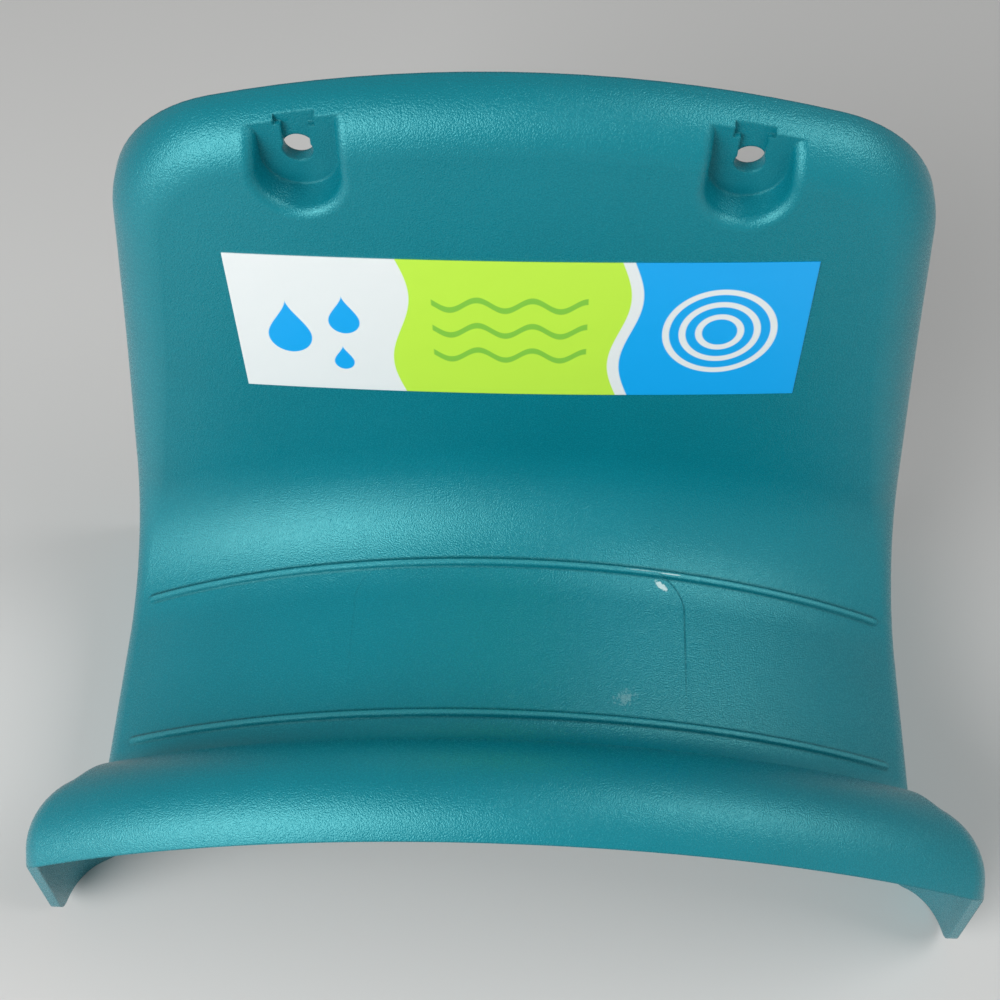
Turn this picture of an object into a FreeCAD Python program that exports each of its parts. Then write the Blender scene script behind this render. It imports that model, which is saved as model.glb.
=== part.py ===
import FreeCAD, Part
import math
import os

import Sketcher

# Hose hanger, moulded in one piece, with a paper label on its plate.
# X runs along the wall, Y into the wall, Z up. The shapes are drawn with the wall as the plane
# Y = 0 and the screw holes at the height Z = 0. The finished pieces are then moved back, so that
# the origin lies midway between the screw holes on the seats that the screw heads bear on.

V = FreeCAD.Vector
NEAR = 1e-4
RIM_TEXT = "sizes.front_depth - sizes.wall_thickness * sin(sizes.lip_slope * 1deg)"

SIZES = {
    # Hood: the arch that every coil rests on turns about a line that runs into the wall.
    "wall_thickness": 2.6,
    "arch_axis_drop": 276.6,
    "front_depth": 122.8,
    "leg_drop": 178.0,
    # Plate that stands against the wall and leans back towards its top edge.
    "plate_lean": 9.6,
    "plate_standoff": 13.4,
    "top_rise": 15.0,
    "top_radius": 239.0,
    "corner_radius": 34.0,
    "half_width": 85.0,
    "side_flare": 7.1,
    # Saddle, and the lip that keeps the coil on it.
    "plate_fillet": 28.0,
    "saddle_drop": 104.0,
    "lip_fillet": 8.0,
    "lip_height": 24.5,
    "lip_radius": 15.3,
    "lip_slope": 45.0,
    "lip_spread": 12.8,
    "lip_hollow_radius": 5.0,
    "lip_corner_radius": 16.0,
    "lip_end_length": 5.5,
    # Rounded edges.
    "shoulder_radius": 12.0,
    "edge_radius": 8.0,
    "foot_radius": 14.0,
    # Screw recesses.
    "hole_spacing": 90.0,
    "hole_diameter": 6.2,
    "recess_width": 15.8,
    "recess_centre_drop": 2.1,
    "recess_draft": 8.0,
    "seat_standoff": 7.5,
    "seat_thickness": 2.6,
    "recess_rim_radius": 2.4,
    "notch_depth": 1.2,
    "notch_width": 5.4,
    "notch_step_width": 8.2,
    "notch_step_rise": 6.8,
    # Raised beads across the saddle.
    "bead_width": 2.2,
    "bead_height": 0.9,
    "bead_back_depth": 47.0,
    "bead_front_inset": 36.6,
    "bead_reach": 95.5,
    # Label.
    "label_width": 125.7,
    "label_height": 40.0,
    "label_thickness": 0.2,
    "label_drop": 41.7,
    "label_turn": 1.0,
    # Room by which cutting shapes run past what they cut.
    "overrun": 10.0,
    "head_room": 45.0,
}

doc = FreeCAD.newDocument("hose_hanger")
sheet = doc.addObject("Spreadsheet::Sheet", "sizes")


def fill_sheet():
    """Write each driving size in its own row, with its name as the alias."""
    for row, (name, value) in enumerate(SIZES.items(), start=1):
        sheet.set(f"A{row}", name)
        sheet.set(f"B{row}", str(value))
        sheet.setAlias(f"B{row}", name)
    doc.recompute()


def size(name):
    """Value of a driving size, read from the sheet."""
    return float(sheet.get(name))


def tan_deg(angle):
    return math.tan(math.radians(angle))


def cos_deg(angle):
    return math.cos(math.radians(angle))


def sin_deg(angle):
    return math.sin(math.radians(angle))


def new_body(name):
    return doc.addObject("PartDesign::Body", name)


def origin_plane(body, role):
    return next(item for item in body.Origin.OriginFeatures if item.Role == role)


def new_sketch(body, name, role, offset=None):
    """Sketch on one of the body's own planes, moved along its normal by an expression."""
    sketch = body.newObject("Sketcher::SketchObject", name)
    sketch.AttachmentSupport = [(origin_plane(body, role), "")]
    sketch.MapMode = "FlatFace"
    if offset:
        sketch.setExpression("AttachmentOffset.Base.z", offset)
    return sketch


def new_feature(body, kind, name, profile, **settings):
    """Add a feature made from a sketch and bind its sizes: text settings are expressions."""
    feature = body.newObject(kind, name)
    feature.Profile = profile
    for key, value in settings.items():
        if isinstance(value, str) and key not in ("Type", "Type2", "SideType"):
            feature.setExpression(key, value)
        else:
            setattr(feature, key, value)
    body.Tip = feature
    return feature


def bind(sketch, name, expression, kind, *items):
    """Add a dimension at its present value and tie it to the sheet."""
    index = sketch.addConstraint(Sketcher.Constraint(kind, *items))
    sketch.renameConstraint(index, name)
    sketch.setExpression("Constraints." + name, expression)


def relate(sketch, kind, *items):
    sketch.addConstraint(Sketcher.Constraint(kind, *items))


def flat(u, v):
    return V(u, v, 0)


def line(sketch, start, end, construction=False):
    return sketch.addGeometry(Part.LineSegment(start, end), construction)


def arc(sketch, centre, radius, first, last):
    """Arc, anticlockwise from the first angle to the last, in degrees."""
    circle = Part.Circle(centre, V(0, 0, 1), radius)
    return sketch.addGeometry(
        Part.ArcOfCircle(circle, math.radians(first), math.radians(last)), False)


def add_arch_axis(sketch):
    """Construction line about which the arch turns, the sketch's first axis."""
    drop = size("arch_axis_drop")
    reach = size("front_depth")
    axis = line(sketch, flat(0, -drop), flat(reach, -drop), True)
    relate(sketch, "Horizontal", axis)
    relate(sketch, "PointOnObject", axis, 1, -2)
    bind(sketch, "axis_reach", "sizes.front_depth", "DistanceX", axis, 1, axis, 2, reach)
    bind(sketch, "axis_drop", "sizes.arch_axis_drop", "DistanceY", axis, 1, -1, 1, drop)


def draw_profile(sketch, inset, inset_text):
    """Closed side profile of the hood, with plate, saddle and rolled lip, set in by the inset."""
    lean = size("plate_lean")
    slope = size("lip_slope")
    over = size("overrun")
    head = size("head_room")
    hub = size("leg_drop") + 2 * over
    standoff = size("plate_standoff") - inset / cos_deg(lean)
    saddle = size("saddle_drop") + inset
    r_plate = size("plate_fillet") + inset
    r_foot = size("lip_fillet") + inset
    r_lip = size("lip_radius") - inset
    riser = size("front_depth") - size("lip_radius") * (1 + sin_deg(slope)) + inset
    front = size("front_depth") + over

    def plate_at(z):
        return flat(-standoff + z * tan_deg(lean), z)

    bend = flat(plate_at(r_plate - saddle).x - r_plate / cos_deg(lean), r_plate - saddle)
    toe = flat(r_foot - riser, r_foot - saddle)
    crest = flat(-riser - r_lip, size("lip_height") - size("lip_radius") - size("saddle_drop"))
    brow = crest + flat(-sin_deg(slope), cos_deg(slope)) * r_lip
    nose = flat(-front, brow.y - (front + brow.x) * tan_deg(slope))
    low = flat(-front, -hub)

    plate = line(sketch, bend + flat(cos_deg(lean), -sin_deg(lean)) * r_plate, plate_at(head))
    bend_arc = arc(sketch, bend, r_plate, 270, 360 - lean)
    saddle_line = line(sketch, flat(bend.x, -saddle), flat(toe.x, -saddle))
    toe_arc = arc(sketch, toe, r_foot, 180, 270)
    riser_line = line(sketch, flat(-riser, toe.y), flat(-riser, crest.y))
    crest_arc = arc(sketch, crest, r_lip, 0, 90 + slope)
    brow_line = line(sketch, nose, brow)
    front_line = line(sketch, nose, low)
    hub_line = line(sketch, low, flat(over, -hub))
    back_line = line(sketch, flat(over, -hub), flat(over, head))
    head_line = line(sketch, flat(over, head), plate_at(head))

    relate(sketch, "Tangent", plate, 1, bend_arc, 2)
    relate(sketch, "Tangent", bend_arc, 1, saddle_line, 1)
    relate(sketch, "Tangent", saddle_line, 2, toe_arc, 2)
    relate(sketch, "Tangent", toe_arc, 1, riser_line, 1)
    relate(sketch, "Tangent", riser_line, 2, crest_arc, 1)
    relate(sketch, "Tangent", crest_arc, 2, brow_line, 2)
    relate(sketch, "Coincident", brow_line, 1, front_line, 1)
    relate(sketch, "Coincident", front_line, 2, hub_line, 1)
    relate(sketch, "Coincident", hub_line, 2, back_line, 1)
    relate(sketch, "Coincident", back_line, 2, head_line, 1)
    relate(sketch, "Coincident", head_line, 2, plate, 2)
    for level in (saddle_line, hub_line, head_line):
        relate(sketch, "Horizontal", level)
    for upright in (riser_line, front_line, back_line):
        relate(sketch, "Vertical", upright)

    mark = sketch.addGeometry(Part.Point(flat(-standoff, 0)), True)
    relate(sketch, "PointOnObject", mark, 1, plate)
    relate(sketch, "PointOnObject", mark, 1, -1)
    bind(sketch, "standoff", f"sizes.plate_standoff - {inset_text} / cos(sizes.plate_lean * 1deg)",
         "DistanceX", mark, 1, -1, 1, standoff)
    bind(sketch, "lean", "90deg - sizes.plate_lean * 1deg", "Angle", plate,
         math.radians(90 - lean))
    bind(sketch, "head", "sizes.head_room", "DistanceY", -1, 1, plate, 2, head)
    bind(sketch, "saddle", f"sizes.saddle_drop + {inset_text}", "DistanceY",
         saddle_line, 1, -1, 1, saddle)
    bind(sketch, "plate_bend", f"sizes.plate_fillet + {inset_text}", "Radius", bend_arc, r_plate)
    bind(sketch, "toe_bend", f"sizes.lip_fillet + {inset_text}", "Radius", toe_arc, r_foot)
    bind(sketch, "crest_bend", f"sizes.lip_radius - {inset_text}", "Radius", crest_arc, r_lip)
    bind(sketch, "riser",
         "sizes.front_depth - sizes.lip_radius * (1 + sin(sizes.lip_slope * 1deg))"
         f" + {inset_text}", "DistanceX", riser_line, 1, -1, 1, riser)
    bind(sketch, "crest", "sizes.saddle_drop - sizes.lip_height + sizes.lip_radius",
         "DistanceY", crest_arc, 3, -1, 1, -crest.y)
    bind(sketch, "slope", "sizes.lip_slope * 1deg", "Angle", brow_line, math.radians(slope))
    bind(sketch, "front", "sizes.front_depth + sizes.overrun", "DistanceX",
         front_line, 1, -1, 1, front)
    bind(sketch, "hub", "sizes.leg_drop + 2 * sizes.overrun", "DistanceY",
         hub_line, 1, -1, 1, hub)
    bind(sketch, "back", "sizes.overrun", "DistanceX", -1, 1, back_line, 1, over)


def make_profile(name, inset, inset_text):
    """Solid of revolution that the arch is cut from."""
    body = new_body(name)
    sketch = new_sketch(body, name + "_sketch", "YZ_Plane")
    add_arch_axis(sketch)
    draw_profile(sketch, inset, inset_text)
    new_feature(body, "PartDesign::Revolution", name + "_turn", sketch,
                ReferenceAxis=(sketch, ["Axis0"]), Angle=120, Midplane=True)
    return body


def draw_outline(sketch, inset, inset_text):
    """Front outline: flared sides, round corners and an arched top, set in by the inset."""
    flare = size("side_flare")
    foot = size("leg_drop") + size("overrun")
    r_top = size("top_radius") - inset
    r_corner = size("corner_radius") - inset
    half = size("half_width") - inset / cos_deg(flare)
    hub = flat(0, size("top_rise") - size("top_radius"))

    # The corner's centre lies a corner radius inside the side and inside the top arc.
    side_out = flat(cos_deg(flare), sin_deg(flare))
    side_up = flat(-sin_deg(flare), cos_deg(flare))
    start = flat(half, 0) - side_out * r_corner - hub
    along = start.dot(side_up)
    climb = math.sqrt(along ** 2 - start.dot(start) + (r_top - r_corner) ** 2) - along
    corner = hub + start + side_up * climb
    turn = math.degrees(math.atan2(corner.y - hub.y, corner.x))
    joint = corner + side_out * r_corner
    sole = flat(half + foot * tan_deg(flare), -foot)

    right = line(sketch, sole, joint)
    corner_right = arc(sketch, corner, r_corner, flare, turn)
    top = arc(sketch, hub, r_top, turn, 180 - turn)
    corner_left = arc(sketch, flat(-corner.x, corner.y), r_corner, 180 - turn, 180 - flare)
    left = line(sketch, flat(-joint.x, joint.y), flat(-sole.x, sole.y))
    bottom = line(sketch, flat(-sole.x, sole.y), sole)

    relate(sketch, "Tangent", right, 2, corner_right, 1)
    relate(sketch, "Tangent", corner_right, 2, top, 1)
    relate(sketch, "Tangent", top, 2, corner_left, 1)
    relate(sketch, "Tangent", corner_left, 2, left, 1)
    relate(sketch, "Coincident", left, 2, bottom, 1)
    relate(sketch, "Coincident", bottom, 2, right, 1)
    relate(sketch, "Symmetric", right, 1, left, 2, -2)
    relate(sketch, "Symmetric", right, 2, left, 1, -2)
    relate(sketch, "PointOnObject", top, 3, -2)

    mark = sketch.addGeometry(Part.Point(flat(half, 0)), True)
    relate(sketch, "PointOnObject", mark, 1, right)
    relate(sketch, "PointOnObject", mark, 1, -1)
    bind(sketch, "half_width", f"sizes.half_width - {inset_text} / cos(sizes.side_flare * 1deg)",
         "DistanceX", -1, 1, mark, 1, half)
    bind(sketch, "flare", "90deg + sizes.side_flare * 1deg", "Angle", right,
         math.radians(90 + flare))
    bind(sketch, "corner", f"sizes.corner_radius - {inset_text}", "Radius", corner_right, r_corner)
    bind(sketch, "arch", f"sizes.top_radius - {inset_text}", "Radius", top, r_top)
    bind(sketch, "arch_hub", "sizes.top_radius - sizes.top_rise", "DistanceY",
         top, 3, -1, 1, -hub.y)
    bind(sketch, "foot", "sizes.leg_drop + sizes.overrun", "DistanceY", right, 1, -1, 1, foot)


def draw_spread(sketch, inset, inset_text):
    """Plan of one side where it steps out in two bends to the lip's end, at screw height."""
    flare = size("side_flare")
    front = size("front_depth") + size("overrun")
    spread = size("lip_spread")
    hollow = size("lip_hollow_radius") + inset
    crown = size("lip_corner_radius") - inset
    side = size("half_width") - inset / cos_deg(flare)
    turn = math.degrees(math.acos(1 - spread / (hollow + crown)))
    end = flat(side + spread, size("lip_end_length") - size("front_depth"))
    start = flat(side, end.y + (hollow + crown) * sin_deg(turn))
    inner = side / 2

    inward = arc(sketch, start + flat(hollow, 0), hollow, 180, 180 + turn)
    outward = arc(sketch, end - flat(crown, 0), crown, 0, turn)
    run = line(sketch, end, flat(end.x, -front))
    ahead = line(sketch, flat(end.x, -front), flat(inner, -front))
    middle = line(sketch, flat(inner, -front), flat(inner, start.y))
    behind = line(sketch, flat(inner, start.y), start)

    relate(sketch, "Tangent", inward, 2, outward, 2)
    relate(sketch, "Tangent", outward, 1, run, 1)
    relate(sketch, "Coincident", run, 2, ahead, 1)
    relate(sketch, "Coincident", ahead, 2, middle, 1)
    relate(sketch, "Coincident", middle, 2, behind, 1)
    relate(sketch, "Coincident", behind, 2, inward, 1)
    relate(sketch, "Vertical", run)
    relate(sketch, "Horizontal", ahead)
    relate(sketch, "Vertical", middle)
    relate(sketch, "Horizontal", behind)
    relate(sketch, "PointOnObject", inward, 3, behind)

    side_text = f"sizes.half_width - {inset_text} / cos(sizes.side_flare * 1deg)"
    bind(sketch, "hollow", f"sizes.lip_hollow_radius + {inset_text}", "Radius", inward, hollow)
    bind(sketch, "crown", f"sizes.lip_corner_radius - {inset_text}", "Radius", outward, crown)
    bind(sketch, "side", side_text, "DistanceX", -1, 1, inward, 1, side)
    bind(sketch, "spread", "sizes.lip_spread", "DistanceX", inward, 1, run, 1, spread)
    bind(sketch, "end", "sizes.front_depth - sizes.lip_end_length", "DistanceY",
         run, 1, -1, 1, -end.y)
    bind(sketch, "front", "sizes.front_depth + sizes.overrun", "DistanceY", run, 2, -1, 1, front)
    bind(sketch, "inner", f"({side_text}) / 2", "DistanceX", -1, 1, middle, 1, inner)


def make_envelope(name, inset, inset_text):
    """Solid inside the front outline, widened at the lip's ends."""
    body = new_body(name)
    outline = new_sketch(body, name + "_outline", "XZ_Plane", "-sizes.overrun")
    draw_outline(outline, inset, inset_text)
    new_feature(body, "PartDesign::Pad", name + "_block", outline,
                Length="sizes.front_depth + 2 * sizes.overrun")
    doc.recompute()
    plan = new_sketch(body, name + "_plan", "XY_Plane")
    draw_spread(plan, inset, inset_text)
    spread = new_feature(body, "PartDesign::Pad", name + "_spread", plan,
                         UseCustomVector=True, AlongSketchNormal=True,
                         Length="sizes.leg_drop + sizes.overrun")
    spread.Direction = V(tan_deg(size("side_flare")), 0, -1)
    spread.setExpression("Direction.x", "tan(sizes.side_flare * 1deg)")
    doc.recompute()
    other = body.newObject("PartDesign::Mirrored", name + "_sides")
    other.Originals = [spread]
    other.MirrorPlane = (origin_plane(body, "YZ_Plane"), [""])
    body.Tip = other
    return body


def lies_on(shell, edge):
    """Whether an edge runs on a shell, tested at three places along it."""
    span = edge.LastParameter - edge.FirstParameter
    spots = [edge.valueAt(edge.FirstParameter + span * part) for part in (0.3, 0.5, 0.7)]
    return all(shell.distToShape(Part.Vertex(spot))[0] < NEAR for spot in spots)


def make_reach():
    """Block between the wall and the feet, wider, higher and deeper than the hanger."""
    reach = doc.addObject("Part::Box", "reach")
    reach.setExpression("Length", "4 * sizes.half_width")
    reach.setExpression("Width", "sizes.front_depth + 2 * sizes.overrun")
    reach.setExpression("Height", "sizes.leg_drop + sizes.head_room")
    reach.setExpression("Placement.Base.x", "-2 * sizes.half_width")
    reach.setExpression("Placement.Base.y", "-sizes.front_depth - 2 * sizes.overrun")
    reach.setExpression("Placement.Base.z", "-sizes.leg_drop")
    return reach


def rounded_edges(block, profile, envelope, inset):
    """Edges where the arch meets the sides and top, each with a radius at either end.

    The edges make one chain from the left lip end over the top to the right lip end, and the
    radii of each stand in the direction in which its first edge runs.
    """
    skin = Part.Shell(profile.Shape.Faces)
    sides = Part.Shell(envelope.Shape.Faces)
    shoulder = size("shoulder_radius") - inset
    edge_r = size("edge_radius") - inset
    back_plane = max(vertex.Y for vertex in block.Shape.Vertexes)
    front_plane = min(vertex.Y for vertex in block.Shape.Vertexes)
    shoulder_foot = size("top_rise") - 2 * size("corner_radius")

    def radius_at(point):
        return shoulder if point.z > shoulder_foot else edge_r

    def along(point):
        return math.copysign(point.y, point.x)

    chosen = []
    onward = None
    for number, edge in enumerate(block.Shape.Edges, start=1):
        depth = edge.CenterOfMass.y
        if abs(depth - back_plane) < NEAR or abs(depth - front_plane) < NEAR:
            continue
        if lies_on(skin, edge) and lies_on(sides, edge):
            ends = [edge.valueAt(edge.FirstParameter), edge.valueAt(edge.LastParameter)]
            if onward is None:
                onward = along(ends[1]) > along(ends[0])
            ends.sort(key=along, reverse=not onward)
            chosen.append((number, radius_at(ends[0]), radius_at(ends[1])))
    return chosen


def make_hood(name, inset, inset_text, reach=None):
    """Rounded solid of the hood: the arch within its outline and its reach."""
    profile = make_profile(name + "_arch", inset, inset_text)
    envelope = make_envelope(name + "_bounds", inset, inset_text)
    block = doc.addObject("Part::MultiCommon", name + "_block")
    block.Shapes = [profile, envelope] + ([reach] if reach else [])
    block.Refine = True
    doc.recompute()
    hood = doc.addObject("Part::Fillet", name + "_rounded")
    hood.Base = block
    hood.Edges = rounded_edges(block, profile, envelope, inset)
    doc.recompute()
    return hood


def round_rims(body, skin):
    """Round the rims where the screw recesses break through the outer skin."""
    shell = Part.Shell(skin.Shape.Faces)
    middle = size("hole_spacing") / 2
    room = 0.75 * size("recess_width")
    seat = -size("seat_standoff")

    def beside_hole(vertex):
        return abs(abs(vertex.X) - middle) < room and vertex.Y < seat + NEAR

    cut = body.Tip
    names = [f"Edge{number}" for number, edge in enumerate(cut.Shape.Edges, start=1)
             if all(beside_hole(vertex) for vertex in edge.Vertexes)
             and edge.CenterOfMass.y < seat - NEAR and lies_on(shell, edge)]
    rims = body.newObject("PartDesign::Fillet", "recess_rims")
    rims.Base = (cut, names)
    rims.setExpression("Radius", "sizes.recess_rim_radius")
    body.Tip = rims
    doc.recompute()
    return rims


def across(sketch, name, expression, side, item, point, value):
    """Set how far a point lies to the left (side -1) or right (side 1) of the middle."""
    ends = (-1, 1, item, point) if side > 0 else (item, point, -1, 1)
    bind(sketch, name, expression, "DistanceX", *ends, value)


def draw_recesses(sketch, inset, inset_text):
    """Two U-shaped outlines round the screw holes, open upwards past the top edge."""
    middle = size("hole_spacing") / 2
    drop = size("recess_centre_drop")
    radius = size("recess_width") / 2 - inset
    top = size("top_rise") + size("overrun")
    for side in (-1, 1):
        tag = "left" if side < 0 else "right"
        centre = side * middle
        bowl = arc(sketch, flat(centre, -drop), radius, 180, 360)
        west = line(sketch, flat(centre - radius, top), flat(centre - radius, -drop))
        east = line(sketch, flat(centre + radius, -drop), flat(centre + radius, top))
        lid = line(sketch, flat(centre + radius, top), flat(centre - radius, top))
        relate(sketch, "Tangent", west, 2, bowl, 1)
        relate(sketch, "Tangent", bowl, 2, east, 1)
        relate(sketch, "Coincident", east, 2, lid, 1)
        relate(sketch, "Coincident", lid, 2, west, 1)
        relate(sketch, "Vertical", west)
        relate(sketch, "Vertical", east)
        relate(sketch, "Horizontal", lid)
        across(sketch, tag + "_place", "sizes.hole_spacing / 2", side, bowl, 3, middle)
        bind(sketch, tag + "_drop", "sizes.recess_centre_drop", "DistanceY", bowl, 3, -1, 1, drop)
        bind(sketch, tag + "_bowl", f"sizes.recess_width / 2 - {inset_text}", "Radius", bowl, radius)
        bind(sketch, tag + "_top", "sizes.top_rise + sizes.overrun", "DistanceY", -1, 1, lid, 1, top)


def draw_notches(sketch, width, width_text, foot, foot_text):
    """Two upright slots above the screw holes, from a given height to past the top edge."""
    middle = size("hole_spacing") / 2
    top = size("top_rise") + size("overrun")
    near = middle - width / 2
    far = middle + width / 2
    for side in (-1, 1):
        tag = "left" if side < 0 else "right"
        corners = [flat(side * near, foot), flat(side * far, foot),
                   flat(side * far, top), flat(side * near, top)]
        lines = [line(sketch, corners[k], corners[(k + 1) % 4]) for k in range(4)]
        for k in range(4):
            relate(sketch, "Coincident", lines[k], 2, lines[(k + 1) % 4], 1)
            relate(sketch, "Vertical" if k % 2 else "Horizontal", lines[k])
        across(sketch, tag + "_near", f"(sizes.hole_spacing - {width_text}) / 2", side,
               lines[0], 1, near)
        across(sketch, tag + "_far", f"(sizes.hole_spacing + {width_text}) / 2", side,
               lines[0], 2, far)
        bind(sketch, tag + "_foot", foot_text, "DistanceY", -1, 1, lines[0], 1, foot)
        bind(sketch, tag + "_top", "sizes.top_rise + sizes.overrun", "DistanceY",
             -1, 1, lines[2], 1, top)


def draw_holes(sketch):
    """Round screw holes at the height of the origin."""
    middle = size("hole_spacing") / 2
    radius = size("hole_diameter") / 2
    for side in (-1, 1):
        tag = "left" if side < 0 else "right"
        hole = sketch.addGeometry(Part.Circle(flat(side * middle, 0), V(0, 0, 1), radius), False)
        relate(sketch, "PointOnObject", hole, 3, -1)
        across(sketch, tag + "_place", "sizes.hole_spacing / 2", side, hole, 3, middle)
        bind(sketch, tag + "_size", "sizes.hole_diameter", "Diameter", hole, 2 * radius)


def draw_bead(sketch, tag, top, top_texts, tilt, tilt_text):
    """Section of one bead: a ridge with sloping sides whose foot is sunk in the skin."""
    height = size("bead_height") * 3
    width = size("bead_width")
    along = flat(cos_deg(tilt), sin_deg(tilt))
    out = flat(-sin_deg(tilt), cos_deg(tilt))
    crown = width / 2
    base = width * 2
    corners = [top - out * height - along * (base / 2), top - out * height + along * (base / 2),
               top + along * (crown / 2), top - along * (crown / 2)]
    lines = [line(sketch, corners[k], corners[(k + 1) % 4]) for k in range(4)]
    for k in range(4):
        relate(sketch, "Coincident", lines[k], 2, lines[(k + 1) % 4], 1)
    relate(sketch, "Parallel", lines[0], lines[2])
    relate(sketch, "Equal", lines[1], lines[3])
    mark = sketch.addGeometry(Part.Point(top), True)
    relate(sketch, "Symmetric", lines[2], 1, lines[2], 2, mark, 1)
    bind(sketch, tag + "_tilt", tilt_text, "Angle", lines[0], math.radians(tilt))
    bind(sketch, tag + "_base", "sizes.bead_width * 2", "Distance", lines[0], base)
    bind(sketch, tag + "_crown", "sizes.bead_width / 2", "Distance", lines[2], crown)
    bind(sketch, tag + "_height", "sizes.bead_height * 3", "Distance", mark, 1, lines[0], height)
    bind(sketch, tag + "_depth", top_texts[0], "DistanceX", mark, 1, -1, 1, -top.x)
    bind(sketch, tag + "_drop", top_texts[1], "DistanceY", mark, 1, -1, 1, -top.y)


def draw_beads(sketch):
    """Sections of the two beads, one on the bend below the plate and one on the saddle."""
    height = size("bead_height")
    lean = size("plate_lean")
    rise = size("saddle_drop") - size("plate_fillet")
    bend = size("plate_standoff") + rise * tan_deg(lean) + size("plate_fillet") / cos_deg(lean)
    bend_text = ("(sizes.plate_standoff"
                 " + (sizes.saddle_drop - sizes.plate_fillet) * tan(sizes.plate_lean * 1deg)"
                 " + sizes.plate_fillet / cos(sizes.plate_lean * 1deg))")
    tilt = math.degrees(math.asin((bend - size("bead_back_depth")) / size("plate_fillet")))
    tilt_text = f"asin(({bend_text} - sizes.bead_back_depth) / sizes.plate_fillet)"
    reach = size("plate_fillet") - height
    reach_text = "(sizes.plate_fillet - sizes.bead_height)"
    draw_bead(sketch, "back", flat(reach * sin_deg(tilt) - bend, -rise - reach * cos_deg(tilt)),
              (f"{bend_text} - {reach_text} * sin({tilt_text})",
               f"sizes.saddle_drop - sizes.plate_fillet + {reach_text} * cos({tilt_text})"),
              tilt, tilt_text)
    front = size("front_depth") - size("bead_front_inset")
    draw_bead(sketch, "front", flat(-front, height - size("saddle_drop")),
              ("sizes.front_depth - sizes.bead_front_inset", "sizes.saddle_drop - sizes.bead_height"),
              0.0, "0deg")


def draw_front_rim(sketch):
    """What is cut away in front of the rim, which stands square to the lip and upright below it."""
    slope = size("lip_slope")
    wall = size("wall_thickness")
    over = size("overrun")
    hub = size("leg_drop") + 2 * over
    ahead = size("front_depth") + 2 * over
    drop = size("saddle_drop") - size("lip_height") + size("lip_radius") * (1 - cos_deg(slope))
    nose = flat(-size("front_depth"), -drop)
    inner = nose + flat(sin_deg(slope), -cos_deg(slope)) * wall
    outer = nose - flat(sin_deg(slope), -cos_deg(slope)) * over

    rim = line(sketch, inner, outer)
    crown = line(sketch, outer, flat(-ahead, outer.y))
    front = line(sketch, flat(-ahead, outer.y), flat(-ahead, -hub))
    sole = line(sketch, flat(-ahead, -hub), flat(inner.x, -hub))
    upright = line(sketch, flat(inner.x, -hub), inner)
    chain = (rim, crown, front, sole, upright)
    for first, second in zip(chain, chain[1:] + chain[:1]):
        relate(sketch, "Coincident", first, 2, second, 1)
    for level in (crown, sole):
        relate(sketch, "Horizontal", level)
    for post in (front, upright):
        relate(sketch, "Vertical", post)

    mark = sketch.addGeometry(Part.Point(nose), True)
    relate(sketch, "PointOnObject", mark, 1, rim)
    bind(sketch, "nose_depth", "sizes.front_depth", "DistanceX", mark, 1, -1, 1,
         size("front_depth"))
    bind(sketch, "nose_drop", "sizes.saddle_drop - sizes.lip_height"
         " + sizes.lip_radius * (1 - cos(sizes.lip_slope * 1deg))", "DistanceY",
         mark, 1, -1, 1, drop)
    bind(sketch, "slope", "90deg + sizes.lip_slope * 1deg", "Angle", rim, math.radians(90 + slope))
    bind(sketch, "rim", "sizes.wall_thickness + sizes.overrun", "Distance", rim, wall + over)
    bind(sketch, "upright", RIM_TEXT, "DistanceX", upright, 1, -1, 1, -inner.x)
    bind(sketch, "ahead", "sizes.front_depth + 2 * sizes.overrun", "DistanceX", front, 1, -1, 1, ahead)
    bind(sketch, "hub", "sizes.leg_drop + 2 * sizes.overrun", "DistanceY", sole, 1, -1, 1, hub)


def draw_foot_corner(sketch):
    """What is cut away outside the round front corner of the feet."""
    radius = size("foot_radius")
    over = size("overrun")
    front = size("front_depth") - size("wall_thickness") * sin_deg(size("lip_slope"))
    floor = size("leg_drop")
    heel = flat(radius - front, -floor)
    toe = flat(-front, radius - floor)
    round_arc = arc(sketch, flat(heel.x, toe.y), radius, 180, 270)
    down = line(sketch, heel, flat(heel.x, -floor - over))
    under = line(sketch, flat(heel.x, -floor - over), flat(-front - over, -floor - over))
    ahead = line(sketch, flat(-front - over, -floor - over), flat(-front - over, toe.y))
    back = line(sketch, flat(-front - over, toe.y), toe)
    relate(sketch, "Coincident", round_arc, 2, down, 1)
    relate(sketch, "Coincident", down, 2, under, 1)
    relate(sketch, "Coincident", under, 2, ahead, 1)
    relate(sketch, "Coincident", ahead, 2, back, 1)
    relate(sketch, "Coincident", back, 2, round_arc, 1)
    relate(sketch, "Vertical", down)
    relate(sketch, "Horizontal", under)
    relate(sketch, "Vertical", ahead)
    relate(sketch, "Horizontal", back)
    relate(sketch, "PointOnObject", round_arc, 3, back)
    relate(sketch, "PointOnObject", round_arc, 3, down)
    bind(sketch, "round", "sizes.foot_radius", "Radius", round_arc, radius)
    bind(sketch, "front", RIM_TEXT, "DistanceX", round_arc, 1, -1, 1, front)
    bind(sketch, "floor", "sizes.leg_drop", "DistanceY", round_arc, 2, -1, 1, floor)
    bind(sketch, "ahead", RIM_TEXT + " + sizes.overrun", "DistanceX", ahead, 1, -1, 1, front + over)
    bind(sketch, "under", "sizes.leg_drop + sizes.overrun", "DistanceY", under, 1, -1, 1,
         floor + over)


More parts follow.
